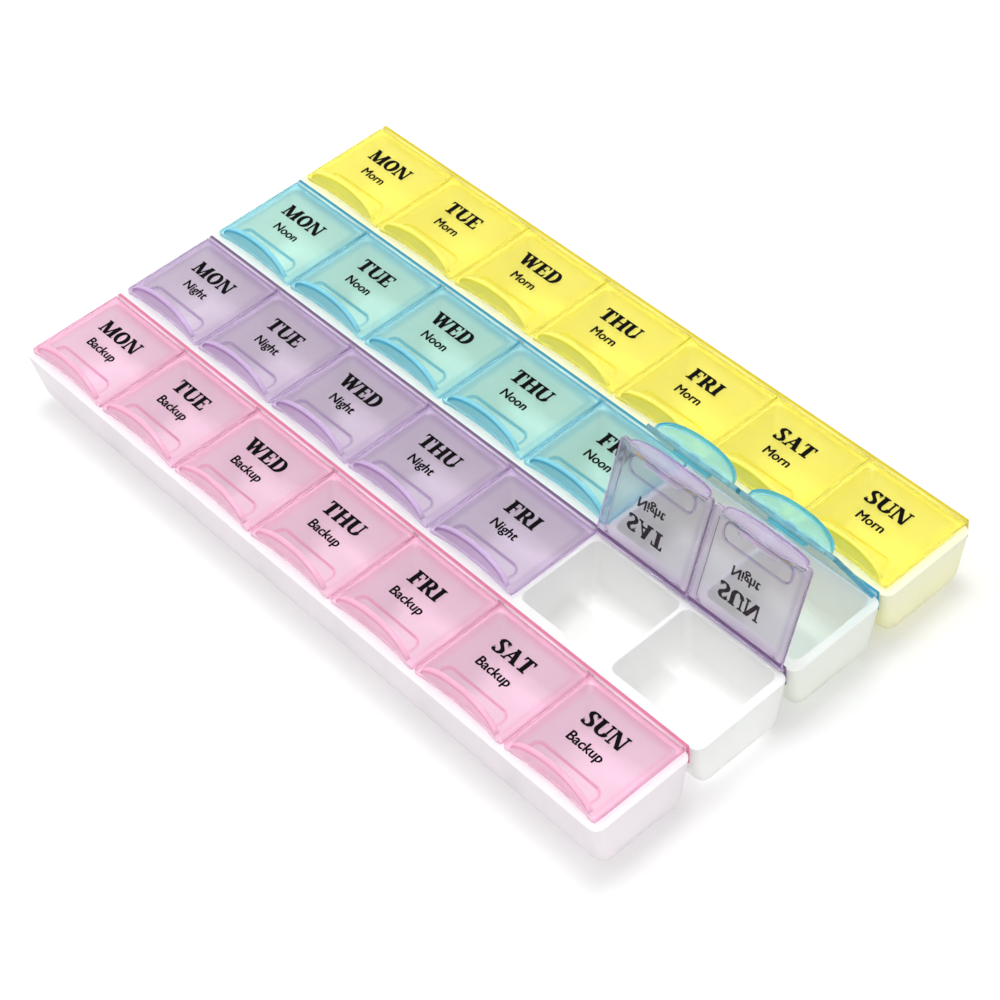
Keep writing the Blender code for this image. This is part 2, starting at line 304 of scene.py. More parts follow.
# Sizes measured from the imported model: a lid that is closed at rest, and its tray.
CLOSED_LID = lid_name("backup", "mon")
LID_LOW, LID_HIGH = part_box(CLOSED_LID)
TRAY_LOW, TRAY_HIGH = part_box("backup_tray")
RAIL_LOW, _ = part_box("backup_hinge_rail")
HINGE = hinge_point(CLOSED_LID)
LID_WIDTH = LID_HIGH.x - LID_LOW.x
LID_DEPTH = HINGE.y - LID_LOW.y
HINGE_GAP = 2 * (RAIL_LOW.y - HINGE.y)
TAB_HEIGHT = LID_HIGH.z - HINGE.z
SNAP_DEPTH = HINGE.z - LID_LOW.z - LID_THICKNESS
COMPARTMENT_PITCH = hinge_point(lid_name("backup", "tue")).x - HINGE.x
CELL_WIDTH = COMPARTMENT_PITCH - DIVIDER_THICKNESS


def put(name, data):
    """A new object in the scene."""
    made = bpy.data.objects.new(name, data)
    bpy.context.scene.collection.objects.link(made)
    return made


def put_shared(name, mesh, material):
    """A new object whose mesh others share, with a material of its own."""
    if not mesh.materials:
        mesh.materials.append(None)
    made = put(name, mesh)
    made.material_slots[0].link = "OBJECT"
    made.material_slots[0].material = material
    return made


def mesh_from(form, name):
    bmesh.ops.recalc_face_normals(form, faces=form.faces)
    mesh = bpy.data.meshes.new(name)
    form.to_mesh(mesh)
    form.free()
    mesh.shade_smooth()
    return mesh


def evaluated_mesh(source, name):
    """The mesh of an object as its modifiers leave it. The object is removed."""
    bpy.context.view_layer.update()
    graph = bpy.context.evaluated_depsgraph_get()
    mesh = bpy.data.meshes.new_from_object(source.evaluated_get(graph))
    mesh.name = name
    bpy.data.objects.remove(source)
    return mesh


def boolean(target, operation, others):
    for other in others:
        modifier = target.modifiers.new(other.name, "BOOLEAN")
        modifier.operation = operation
        modifier.solver = "EXACT"
        modifier.object = other


def smooth_ramp(value):
    value = min(1.0, max(0.0, value))
    return value * value * (3.0 - 2.0 * value)


def inside_rounded(x, y, half_width, front, back, radius):
    """How deep a point lies inside a rounded rectangle that is centred on x = 0."""
    across = abs(x) - (half_width - radius)
    along = abs(y - (front + back) / 2) - ((back - front) / 2 - radius)
    outside = math.hypot(max(across, 0.0), max(along, 0.0))
    return radius - outside - min(max(across, along), 0.0)


# Lids. Each is drawn closed, with its hinge axis along X at the origin and its top at z = 0.

def front_edge(x):
    """How far back from the front corners a lid's front edge lies."""
    share = x / (LID_WIDTH / 2)
    return FRONT_HOLLOW * (1.0 - share * share)


def rim_drop(inside):
    """How far a rounded rim has fallen at a distance inside its edge."""
    short = max(0.0, RIM_ROUND - inside)
    return RIM_ROUND - math.sqrt(max(0.0, RIM_ROUND**2 - short**2))


def inside_panel(x, y):
    front = -LID_DEPTH + FRONT_BAND
    back = -HINGE_GAP / 2 - BACK_BORDER
    return inside_rounded(x, y, LID_WIDTH / 2 - LID_BORDER, front, back, PANEL_CORNER_RADIUS)


def inside_pocket(x, y):
    front = -LID_DEPTH + FRONT_BAND
    back = -LID_DEPTH + POCKET_REACH
    return inside_rounded(x, y, POCKET_WIDTH / 2, front, back, POCKET_CORNER_RADIUS)


def sunk_depth(x, y):
    """How deep the panel and the thumb pocket are sunk into a lid's top."""
    panel = PANEL_RECESS * smooth_ramp(inside_panel(x, y) / WALL_RUN)
    return panel + (POCKET_RECESS - PANEL_RECESS) * smooth_ramp(inside_pocket(x, y) / WALL_RUN)


def snap_drop(x, y):
    """How far the snap hangs below a lid's underside."""
    front = -LID_DEPTH + SNAP_FROM_FRONT
    radius = SNAP_THICKNESS * SNAP_ROUND_SHARE
    inside = inside_rounded(x, y, SNAP_LENGTH / 2, front, front + SNAP_THICKNESS, radius)
    return SNAP_DEPTH * smooth_ramp(inside / WALL_RUN)


def grid_lines(low, high, edges):
    """Places from low to high, close together near the edges and wide apart between them."""
    lines = [low]
    while high - lines[-1] > FINE_STEP:
        nearest = min(abs(lines[-1] + FINE_STEP - edge) for edge in edges)
        lines.append(lines[-1] + min(COARSE_STEP, max(FINE_STEP, nearest * STEP_GROWTH_SHARE)))
    lines[-1] = high
    return lines


def plan_point(x, y):
    """Moves a point of a lid's square plan to its hollowed front and rounded front corners."""
    radius = LID_CORNER_RADIUS
    across = (abs(x) - (LID_WIDTH / 2 - radius)) / radius
    along = (-LID_DEPTH + radius - y) / radius
    if across > 0.0 and along > 0.0:
        reach = radius * across * math.sqrt(1 - along**2 / 2)
        x = math.copysign(LID_WIDTH / 2 - radius + reach, x)
        y = -LID_DEPTH + radius - radius * along * math.sqrt(1 - across**2 / 2)
    fade = max(0.0, (-LID_DEPTH + FRONT_BAND - y) / FRONT_BAND)
    return x, y + front_edge(x) * fade


def plate_mesh():
    """A lid without its tab: a grid over its top and another under it, joined round the rim."""
    side = LID_WIDTH / 2
    front, back = -LID_DEPTH, -HINGE_GAP / 2
    pocket_side = POCKET_WIDTH / 2
    pocket_back = front + POCKET_REACH
    half_edges = (
        side,
        side - LID_BORDER,
        pocket_side,
        pocket_side - POCKET_CORNER_STEP,
        pocket_side - POCKET_CORNER_RADIUS,
        SNAP_LENGTH / 2,
    )
    right = grid_lines(0.0, side, half_edges)
    across = [-x for x in reversed(right[1:])] + right
    along_edges = (
        front,
        front + FRONT_BAND,
        front + SNAP_FROM_FRONT + SNAP_THICKNESS,
        pocket_back - POCKET_CORNER_RADIUS,
        pocket_back - POCKET_CORNER_STEP,
        pocket_back,
        back - BACK_BORDER,
        back,
    )
    along = grid_lines(front, back, along_edges)
    form = bmesh.new()
    sheets = ([], [])
    for x in across:
        columns = ([], [])
        for y in along:
            inside = min(side - abs(x), back - y, y - front)
            place = plan_point(x, y)
            top = -rim_drop(inside) - sunk_depth(*place)
            bottom = rim_drop(inside) - LID_THICKNESS - snap_drop(*place)
            columns[0].append(form.verts.new((*place, top)))
            columns[1].append(form.verts.new((*place, bottom)))
        sheets[0].append(columns[0])
        sheets[1].append(columns[1])
    for sheet in sheets:
        for left, right in zip(sheet, sheet[1:]):
            for step in range(len(along) - 1):
                form.faces.new((left[step], right[step], right[step + 1], left[step + 1]))
    rims = []
    for sheet in sheets:
        rims.append(
            [column[0] for column in sheet]
            + sheet[-1][1:]
            + [column[-1] for column in reversed(sheet[:-1])]
            + sheet[0][-2:0:-1]
        )
    for step in range(len(rims[0])):
        upper, lower = rims[0], rims[1]
        form.faces.new((upper[step - 1], upper[step], lower[step], lower[step - 1]))
    return mesh_from(form, "lid_plate")


def tab_top(x):
    """The height of a thumb tab's arc."""
    share = min(1.0, abs(x) / (TAB_WIDTH / 2))
    arc = math.sqrt(1.0 - share**TAB_SQUARENESS)
    return TAB_END_HEIGHT + (TAB_HEIGHT - TAB_END_HEIGHT) * arc


def tab_ring(x):
    """The section of a thumb tab: a web with a bead along its arc, rounded over the top."""
    top = tab_top(x)
    width = TAB_THICKNESS + TAB_BEAD
    line = max(top - TAB_LINE_DROP, TAB_LINE_LOWEST)
    line_foot = max(line - TAB_LINE_REACH, TAB_LINE_FOOT_LOWEST)
    levels = (-TAB_ROOT, (line_foot - TAB_ROOT) / 2, line_foot, line, top - TAB_ROUND)
    profile = [(0.0, level) for level in levels]
    for step in range(1, ROUND_STEPS + 1):
        turn = step / ROUND_STEPS * math.pi / 2
        profile.append((TAB_ROUND * (1 - math.cos(turn)), top - TAB_ROUND * (1 - math.sin(turn))))
    for step in range(ROUND_STEPS + 1):
        turn = step / ROUND_STEPS * math.pi / 2
        profile.append(
            (width - TAB_ROUND * (1 - math.sin(turn)), top - TAB_ROUND * (1 - math.cos(turn)))
        )
    foot = top - TAB_BEAD_HEIGHT
    neck = foot - TAB_BEAD
    profile += [(width, foot), (TAB_THICKNESS, neck), (TAB_THICKNESS, (neck - TAB_ROOT) / 2)]
    profile.append((TAB_THICKNESS, -TAB_ROOT))
    face = -LID_DEPTH + front_edge(x) + TAB_SETBACK
    return [Vector((x, face + behind, level)) for behind, level in profile]


def tab_mesh():
    form = bmesh.new()
    rings = []
    for step in range(TAB_STEPS + 1):
        x = -TAB_WIDTH / 2 * math.cos(step / TAB_STEPS * math.pi)
        rings.append([form.verts.new(point) for point in tab_ring(x)])
    for left, right in zip(rings, rings[1:]):
        for step in range(len(left)):
            form.faces.new((left[step - 1], left[step], right[step], right[step - 1]))
    form.faces.new(rings[0])
    form.faces.new(reversed(rings[-1]))
    return mesh_from(form, "lid_tab")


def line_depth(inside):
    """Deep colour and painted shade on the wall of a recess: 1 on the wall, fading to 0 on both sides of it.
    """
    return smooth_ramp(1.0 - abs(inside - WALL_RUN / 2) / LINE_REACH)


def colour_depth(point):
    """How deep the plastic looks on a lid: 0 on its thin panel, 1 in its thickest edges. The lines on the
    recess walls add painted shade.
    """
    if point.z > 0.0:
        drop = tab_top(point.x) - point.z
        line = smooth_ramp(1.0 - abs(drop - TAB_LINE_DROP) / TAB_LINE_REACH)
        behind = (point.y + LID_DEPTH - front_edge(point.x) - TAB_SETBACK) / TAB_THICKNESS
        line *= 1.0 - (1.0 - TAB_BACK_SHARE) * smooth_ramp(behind)
        foot = 1.0 - smooth_ramp(point.z / TAB_FOOT_FADE)
        face = TAB_DEPTH_SHARE + (BORDER_DEPTH_SHARE - TAB_DEPTH_SHARE) * foot
        return face + (1.0 - face) * line
    inside = inside_panel(point.x, point.y)
    border = BORDER_DEPTH_SHARE * (1.0 - smooth_ramp(inside / WALL_RUN))
    # The lines on the panel's and the pocket's walls are deep colour and painted shade of the recesses.
    panel_line = PANEL_LINE_SHARE * line_depth(inside)
    pocket_line = POCKET_LINE_SHARE * line_depth(inside_pocket(point.x, point.y))
    rim = RIM_DEPTH_SHARE * smooth_ramp(1.0 - inside_rim(point) / RIM_REACH)
    return max(border, panel_line, pocket_line, rim)


def inside_rim(point):
    """How far a point lies inside a lid's sides and back."""
    return min(LID_WIDTH / 2 - abs(point.x), -HINGE_GAP / 2 - point.y)


def milkiness(point):
    """How milky the plastic looks, and where the tab faces' lightened colour is painted in: most on the tab,
    snap and front edge, less on the rims.
    """
    behind = point.y + LID_DEPTH - front_edge(point.x)
    front = smooth_ramp(1.0 - (behind - FRONT_MILK_REACH) / FRONT_MILK_REACH)
    rim = RIM_MILK * smooth_ramp(1.0 - inside_rim(point) / RIM_REACH)
    on_tab_or_snap = point.z > 0.0 or point.z < -LID_THICKNESS - WELD
    return TAB_MILK * (1.0 if on_tab_or_snap else max(front, rim))


def lid_mesh():
    plate = put("lid_plate", plate_mesh())
    tab = put("lid_tab", tab_mesh())
    boolean(plate, "UNION", [tab])
    mesh = evaluated_mesh(plate, "lid")
    bpy.data.objects.remove(tab)
    mesh.shade_smooth()
    mesh.set_sharp_from_angle(angle=SMOOTH_ANGLE)
    for name, measure in (("colour_depth", colour_depth), ("milkiness", milkiness)):
        layer = mesh.attributes.new(name, "FLOAT", "POINT")
        layer.data.foreach_set("value", [measure(vert.co) for vert in mesh.vertices])
    return mesh


# Trays.

def tapered_block(name, foot, top, foot_radius, corner_radius):
    """A box whose foot and top rectangles differ, rounded round its foot and up its corners.

    foot and top are each (low x, high x, low y, high y, z).
    """
    form = bmesh.new()
    bmesh.ops.create_cube(form, size=1.0)
    for vert in form.verts:
        low_x, high_x, low_y, high_y, level = top if vert.co.z > 0 else foot
        across = high_x if vert.co.x > 0 else low_x
        along = high_y if vert.co.y > 0 else low_y
        vert.co = Vector((across, along, level))
    middle = (foot[4] + top[4]) / 2
    weights = form.edges.layers.float.new("bevel_weight_edge")
    for edge in form.edges:
        ends_up = sum(vert.co.z > middle for vert in edge.verts)
        if ends_up == 0:
            edge[weights] = 1.0
        elif ends_up == 1:
            edge[weights] = corner_radius / foot_radius
    block = put(name, mesh_from(form, name))
    bevel = block.modifiers.new("rounds", "BEVEL")
    bevel.limit_method = "WEIGHT"
    bevel.width = foot_radius
    bevel.segments = TRAY_ROUND_SEGMENTS
    return block


def at_level(foot, top, level):
    """The rectangle of a tapered block at another level, on the same slopes."""
    share = (level - foot[4]) / (top[4] - foot[4])
    return tuple(low + (high - low) * share for low, high in zip(foot, top))


def cell_block(middle, width):
    """The space of one compartment, drawn through the rim."""
    half = CELL_WIDTH / 2
    height = TRAY_HIGH.z - TRAY_LOW.z
    foot_front = TRAY_SIDE_DRAFT + SIDE_WALL_FOOT
    top = (middle - half, middle + half, FRONT_LEDGE, width - BACK_RIM, height)
    foot = (
        middle - half + DIVIDER_DRAFT,
        middle + half - DIVIDER_DRAFT,
        foot_front,
        width - foot_front,
        FLOOR_THICKNESS,
    )
    above = at_level(foot, top, height + CUT_OVERRUN)
    return tapered_block("cell", foot, above, CELL_FOOT_RADIUS, CELL_CORNER_RADIUS)


def tray_mesh():
    """One tray, with its front rim at y = 0, its rims and edges rounded."""
    half = (TRAY_HIGH.x - TRAY_LOW.x) / 2
    width = TRAY_HIGH.y - TRAY_LOW.y
    height = TRAY_HIGH.z - TRAY_LOW.z
    top = (-half, half, 0.0, width, height)
    foot = (
        -half + TRAY_END_DRAFT,
        half - TRAY_END_DRAFT,
        TRAY_SIDE_DRAFT,
        width - TRAY_SIDE_DRAFT,
        0.0,
    )
    block = tapered_block("tray_block", foot, top, TRAY_FOOT_RADIUS, TRAY_CORNER_RADIUS)
    cells = [cell_block(hinge_point(lid_name("backup", day)).x, width) for day in DAYS]
    boolean(block, "DIFFERENCE", cells)
    rounded = put("tray_rounded", evaluated_mesh(block, "tray_sharp"))
    for cell in cells:
        bpy.data.objects.remove(cell)
    bevel = rounded.modifiers.new("edges", "BEVEL")
    bevel.limit_method = "ANGLE"
    bevel.angle_limit = EDGE_ANGLE
    bevel.width = TRAY_EDGE_ROUND
    bevel.segments = ROUND_STEPS
    bevel.use_clamp_overlap = False
    made = evaluated_mesh(rounded, "tray")
    made.shade_smooth()
    made.set_sharp_from_angle(angle=SMOOTH_ANGLE)
    return made


# Hinge webs.

def web_mesh(opened):
    """One lid's web, from the rail's front to the lid's back, already bent by its rest angle."""
    width = LID_WIDTH / 2 - WEB_SIDE_GAP
    reach = HINGE_GAP / 2 + WEB_LAP
    form = bmesh.new()
    rings = []
    for step in range(WEB_STEPS + 1):
        y = reach - 2 * reach * step / WEB_STEPS
        turn = math.radians(opened) * smooth_ramp((HINGE_GAP / 2 - y) / HINGE_GAP)
        turned = Matrix.Rotation(-turn, 3, "X")
        corners = ((-width, 0.0), (width, 0.0), (width, -WEB_THICKNESS), (-width, -WEB_THICKNESS))
        rings.append([form.verts.new(turned @ Vector((x, y, z - WEB_SINK))) for x, z in corners])
    for near, far in zip(rings, rings[1:]):
        for step in range(len(near)):
            form.faces.new((near[step - 1], near[step], far[step], far[step - 1]))
    form.faces.new(rings[0])
    form.faces.new(reversed(rings[-1]))
    return mesh_from(form, "web")


# Words. Letters are drawn one unit high, narrow, and stretched afterwards.

def bar(x0, y0, x1, y1, width):
    """A straight stroke, its width measured across the page."""
    half = width / 2
    return [(x0 - half, y0), (x0 + half, y0), (x1 + half, y1), (x1 - half, y1)]


def slab(x0, x1, y0, y1):
    return [(x0, y0), (x1, y0), (x1, y1), (x0, y1)]


def foot_serif(x, reach=0.0):
    half = STEM / 2 + SERIF_REACH + reach
    return slab(x - half, x + half, 0.0, HAIRLINE)


def head_serif(x, reach=0.0):
    half = STEM / 2 + SERIF_REACH + reach
    return slab(x - half, x + half, 1.0 - HAIRLINE, 1.0)


def stem(x):
    return [bar(x, 0.0, x, 1.0, STEM), foot_serif(x), head_serif(x)]


def pen(points):
    """A broad pen's stroke: full width where it runs up the page, a hairline across it."""
    left, right = [], []
    for step, (x, y) in enumerate(points):
        before = points[max(step - 1, 0)]
        after = points[min(step + 1, len(points) - 1)]
        run = Vector((after[0] - before[0], after[1] - before[1])).normalized()
        half = (HAIRLINE + (STEM - HAIRLINE) * abs(run.y) ** PEN_SHARPNESS) / 2
        left.append((x - run.y * half, y + run.x * half))
        right.append((x + run.y * half, y - run.x * half))
    return [list(four) for four in zip(left, left[1:], right[1:], right)]


def arc(centre_x, centre_y, radius_x, radius_y, start, end):
    """Points along an ellipse, with the angles in quarter turns."""
    points = []
    for step in range(ARC_STEPS + 1):
        turn = (start + (end - start) * step / ARC_STEPS) * math.pi / 2
        points.append((centre_x + radius_x * math.cos(turn), centre_y + radius_y * math.sin(turn)))
    return points


def wedge(x, y, toward_x, toward_y):
    """A thin arm's pointed end: it reaches along the arm by toward_x, off it by toward_y."""
    tip = x + toward_x / WEDGE_TAPER
    return [(x, y), (x, y + toward_y), (tip, y + toward_y), (x + toward_x, y)]


def bowl(x, radius_x, low, high):
    """The round side of a letter, from a stem at x out and back to it."""
    middle, radius_y = (low + high) / 2, (high - low) / 2
    bend = arc(x, middle, radius_x, radius_y, 1, -1)
    return pen([(STEM_X, high), *bend, (STEM_X, low)])


def letter_shapes():
    """Each capital's advance and the outlines that make it up."""
    top, low = 1.0 - HAIRLINE / 2, HAIRLINE / 2
    arm = 1.0 - HAIRLINE
    return {
        "A": (0.84, [
            bar(0.10, 0.0, 0.44, 1.0, HAIRLINE), bar(0.68, 0.0, 0.40, 1.0, STEM),
            slab(0.20, 0.58, 0.27, 0.27 + HAIRLINE), foot_serif(0.10, -0.06), foot_serif(0.68),
        ]),
        "D": (0.82, [*stem(STEM_X), *bowl(0.36, 0.30, low, top)]),
        "E": (0.72, [
            *stem(STEM_X), slab(STEM_X, 0.64, arm, 1.0), slab(STEM_X, 0.50, 0.48, 0.48 + HAIRLINE),
            slab(STEM_X, 0.66, 0.0, HAIRLINE), wedge(0.64, 1.0, -0.16, -0.28),
            wedge(0.66, 0.0, -0.18, 0.30), slab(0.46, 0.50, 0.38, 0.64),
        ]),
        "F": (0.68, [
            *stem(STEM_X), foot_serif(STEM_X, 0.03), slab(STEM_X, 0.64, arm, 1.0),
            slab(STEM_X, 0.48, 0.47, 0.47 + HAIRLINE), wedge(0.64, 1.0, -0.16, -0.30),
            slab(0.44, 0.48, 0.36, 0.64),
        ]),
        "H": (0.90, [*stem(STEM_X), *stem(0.70), slab(STEM_X, 0.70, 0.47, 0.47 + HAIRLINE)]),
        "I": (0.38, stem(STEM_X)),
        "M": (1.06, [
            bar(0.12, 0.0, 0.12, 1.0, HAIRLINE), foot_serif(0.12, -0.05), slab(0.0, 0.22, arm, 1.0),
            bar(0.50, 0.0, 0.16, 1.0, STEM), bar(0.50, 0.0, 0.84, 1.0, HAIRLINE),
            bar(0.86, 0.0, 0.86, 1.0, STEM), foot_serif(0.86), slab(0.80, 1.02, arm, 1.0),
        ]),
        "N": (0.90, [
            bar(0.12, 0.0, 0.12, 1.0, HAIRLINE), foot_serif(0.12, -0.05), slab(0.0, 0.22, arm, 1.0),
            bar(0.68, 0.0, 0.16, 1.0, STEM), bar(0.74, 0.0, 0.74, 1.0, HAIRLINE),
            head_serif(0.74, -0.05),
        ]),
        "O": (0.84, [
            *pen(arc(0.41, 0.5, 0.29, 0.5 - HAIRLINE / 2, 0.96, 3.04)),
            *pen(arc(0.41, 0.5, 0.29, 0.5 - HAIRLINE / 2, -1.04, 1.04)),
        ]),
        "R": (0.84, [
            *stem(STEM_X), *bowl(0.38, 0.20, 0.47, top), bar(0.68, 0.0, 0.42, 0.50, STEM),
            slab(0.58, 0.86, 0.0, HAIRLINE),
        ]),
        "S": (0.64, [
            *pen([
                (0.53, 0.82), (0.46, 0.93), (0.33, 0.965), (0.19, 0.92), (0.12, 0.79), (0.15, 0.67),
                (0.27, 0.56), (0.40, 0.46), (0.49, 0.34), (0.50, 0.20), (0.41, 0.08), (0.28, 0.035),
                (0.14, 0.07), (0.06, 0.20),
            ]),
            slab(0.52, 0.56, 0.68, 0.99), slab(0.03, 0.07, 0.01, 0.32),
        ]),
        "T": (0.76, [
            bar(0.37, 0.0, 0.37, 1.0, STEM), foot_serif(0.37, 0.03), slab(0.03, 0.71, arm, 1.0),
            wedge(0.03, 1.0, 0.16, -0.28), wedge(0.71, 1.0, -0.16, -0.28),
        ]),
        "U": (0.86, [
            bar(STEM_X, 0.32, STEM_X, 1.0, STEM), bar(0.69, 0.32, 0.69, 1.0, HAIRLINE),
            *pen(arc(0.43, 0.34, 0.26, 0.34 - HAIRLINE / 2, 2, 4)),
            head_serif(STEM_X), head_serif(0.69, -0.05),
        ]),
        "W": (1.12, [
            bar(0.36, 0.0, 0.12, 1.0, STEM), bar(0.36, 0.0, 0.58, 1.0, HAIRLINE),
            bar(0.78, 0.0, 0.54, 1.0, STEM), bar(0.78, 0.0, 1.00, 1.0, HAIRLINE),
            head_serif(0.12), head_serif(0.54), head_serif(1.00, -0.06),
        ]),
    }


def signed_area(outline):
    pairs = zip(outline, outline[1:] + outline[:1])
    return sum(x0 * y1 - x1 * y0 for (x0, y0), (x1, y1) in pairs) / 2


def flat_union(outlines):
    """Vertices and triangles of the area that a list of outlines covers."""
    points, faces = [], []
    for outline in outlines:
        if signed_area(outline) < 0.0:
            outline = outline[::-1]
        faces.append(list(range(len(points), len(points) + len(outline))))
        points += [Vector(point) for point in outline]
    points, _, faces, _, _, sources = delaunay_2d_cdt(points, [], faces, CDT_INSIDE, CDT_MERGE)
    return points, [face for face, source in zip(faces, sources) if source]


def ink(name, points, faces, scale, middle, baseline):
    """A printed word as a thin solid film, in a lid's own axes."""
    centre = (min(point.x for point in points) + max(point.x for point in points)) / 2
    form = bmesh.new()
    verts = []
    for point in points:
        across = middle + (point.x - centre) * scale
        verts.append(form.verts.new((across, -LID_DEPTH + baseline + point.y * scale, 0.0)))
    for face in faces:
        form.faces.new([verts[index] for index in face])
    loose = [vert for vert in form.verts if not vert.link_faces]
    bmesh.ops.delete(form, geom=loose, context="VERTS")
    bmesh.ops.remove_doubles(form, verts=form.verts, dist=WELD)
    grown = bmesh.ops.extrude_face_region(form, geom=form.faces[:], use_keep_orig=True)
    for item in grown["geom"]:
        if isinstance(item, bmesh.types.BMVert):
            item.co.z += INK_THICKNESS
    bmesh.ops.translate(form, vec=(0.0, 0.0, -PANEL_RECESS - INK_SINK), verts=form.verts)
    bmesh.ops.recalc_face_normals(form, faces=form.faces)
    mesh = bpy.data.meshes.new(name)
    form.to_mesh(mesh)
    form.free()
    return mesh


def day_word(day):
    """A day's name in capitals."""
    shapes = letter_shapes()
    outlines, pen_x = [], 0.0
    for letter in day.upper():
        advance, strokes = shapes[letter]
        for stroke in strokes:
            outlines.append([((pen_x + x) * LETTER_STRETCH, y) for x, y in stroke])
        pen_x += advance + LETTER_GAP
    points, faces = flat_union(outlines)
    return ink(day + "_word", points, faces, DAY_CAP_HEIGHT, WORDS_OFFSET, DAY_BASELINE)


def plain_text(text):
    """Vertices and faces of a word in Blender's own plain letters."""
    curve = bpy.data.curves.new(text, "FONT")
    curve.body = text
    curve.resolution_u = TEXT_STEPS
    mesh = evaluated_mesh(put(text, curve), text)
    points = [vert.co.copy() for vert in mesh.vertices]
    return points, [list(face.vertices) for face in mesh.polygons]


def dose_word(word):
    """A dose's name in small plain letters, as high as its capital says."""
    capital, _ = plain_text("N")
    height = max(point.y for point in capital)
    points, faces = plain_text(word)
    thin = ink(word + "_thin", points, faces, DOSE_CAP_HEIGHT / height, WORDS_OFFSET, DOSE_BASELINE)
    films = [put(word, thin) for _ in range(len(DOSE_SHIFTS) + 1)]
    for film, (across, up) in zip(films[1:], DOSE_SHIFTS):
        film.location = (across, up, 0.0)
    boolean(films[0], "UNION", films[1:])
    mesh = evaluated_mesh(films[0], word + "_word")
    for film in films[1:]:
        bpy.data.objects.remove(film)
    return mesh


# Materials.

def new_material(name):
    material = bpy.data.materials.new(name)
    material.use_nodes = True
    tree = material.node_tree
    return material, tree, tree.nodes["Principled BSDF"]


def noise(tree, coordinates, size, detail):
    """A noise whose lumps are about a size across."""
    node = tree.nodes.new("ShaderNodeTexNoise")
    node.inputs["Scale"].default_value = 1.0 / size
    node.inputs["Detail"].default_value = detail
    tree.links.new(coordinates, node.inputs["Vector"])
    return node.outputs["Fac"]


def ranged(tree, value, low, high):
    """A value from 0 to 1 moved to a range from low to high."""
    node = tree.nodes.new("ShaderNodeMapRange")
    node.inputs["To Min"].default_value = low
    node.inputs["To Max"].default_value = high
    tree.links.new(value, node.inputs["Value"])
    return node.outputs["Result"]


def colour_socket(sockets, name):
    """A Mix node's socket of a name that carries colours. It has one of each kind of value."""
    return next(socket for socket in sockets if socket.name == name and socket.type == "RGBA")


def blended(tree, share, first, second):
    """A colour between two others, each a colour or another node's output."""
    node = tree.nodes.new("ShaderNodeMix")
    node.data_type = "RGBA"
    tree.links.new(share, node.inputs["Factor"])
    for value, name in ((first, "A"), (second, "B")):
        socket = colour_socket(node.inputs, name)
        if isinstance(value, bpy.types.NodeSocket):
            tree.links.new(value, socket)
        else:
            socket.default_value = value
    return colour_socket(node.outputs, "Result")


def rippled(tree, coordinates):
    """A surface normal with the faint ripple of a moulded face."""
    node = tree.nodes.new("ShaderNodeBump")
    node.inputs["Distance"].default_value = RIPPLE_HEIGHT
    ripple = noise(tree, coordinates, RIPPLE_SIZE, RIPPLE_DETAIL)
    tree.links.new(ripple, node.inputs["Height"])
    return node.outputs["Normal"]


def object_coordinates(tree):
    """Coordinates on the piece itself, moved by a different amount on each piece."""
    place = tree.nodes.new("ShaderNodeTexCoord")
    info = tree.nodes.new("ShaderNodeObjectInfo")
    added = tree.nodes.new("ShaderNodeVectorMath")
    added.operation = "ADD"
    tree.links.new(place.outputs["Object"], added.inputs[0])
    tree.links.new(info.outputs["Random"], added.inputs[1])
    return added.outputs["Vector"]


def let_lamps_through(tree, shader, share):
    """Lets a share of the lamps' light straight through the plastic."""
    clear = tree.nodes.new("ShaderNodeBsdfTransparent")
    path = tree.nodes.new("ShaderNodeLightPath")
    mix = tree.nodes.new("ShaderNodeMixShader")
    tree.links.new(ranged(tree, path.outputs["Is Shadow Ray"], 0.0, share), mix.inputs["Fac"])
    tree.links.new(shader.outputs["BSDF"], mix.inputs[1])
    tree.links.new(clear.outputs["BSDF"], mix.inputs[2])
    tree.links.new(mix.outputs["Shader"], tree.nodes["Material Output"].inputs["Surface"])


def attribute(tree, name):
    node = tree.nodes.new("ShaderNodeAttribute")
    node.attribute_name = name
    return node.outputs["Fac"]


def painted_rail_shade(tree, middle):
    """Painted shade of the hinge's groove: 1 along a line on a hinge rail, at a middle in the rail's own Y,
    and 0 beside it.
    """
    place = tree.nodes.new("ShaderNodeTexCoord")
    axes = tree.nodes.new("ShaderNodeSeparateXYZ")
    tree.links.new(place.outputs["Object"], axes.inputs["Vector"])
    away = tree.nodes.new("ShaderNodeMath")
    away.operation = "SUBTRACT"
    away.inputs[1].default_value = middle
    tree.links.new(axes.outputs["Y"], away.inputs[0])
    size = tree.nodes.new("ShaderNodeMath")
    size.operation = "ABSOLUTE"
    tree.links.new(away.outputs["Value"], size.inputs[0])
    fade = tree.nodes.new("ShaderNodeMapRange")
    fade.inputs["From Min"].default_value = RAIL_SHADE_HALF
    fade.inputs["From Max"].default_value = RAIL_SHADE_HALF + RAIL_SHADE_FADE
    fade.inputs["To Min"].default_value = 1.0
    fade.inputs["To Max"].default_value = 0.0
    tree.links.new(size.outputs["Value"], fade.inputs["Value"])
    return fade.outputs["Result"]


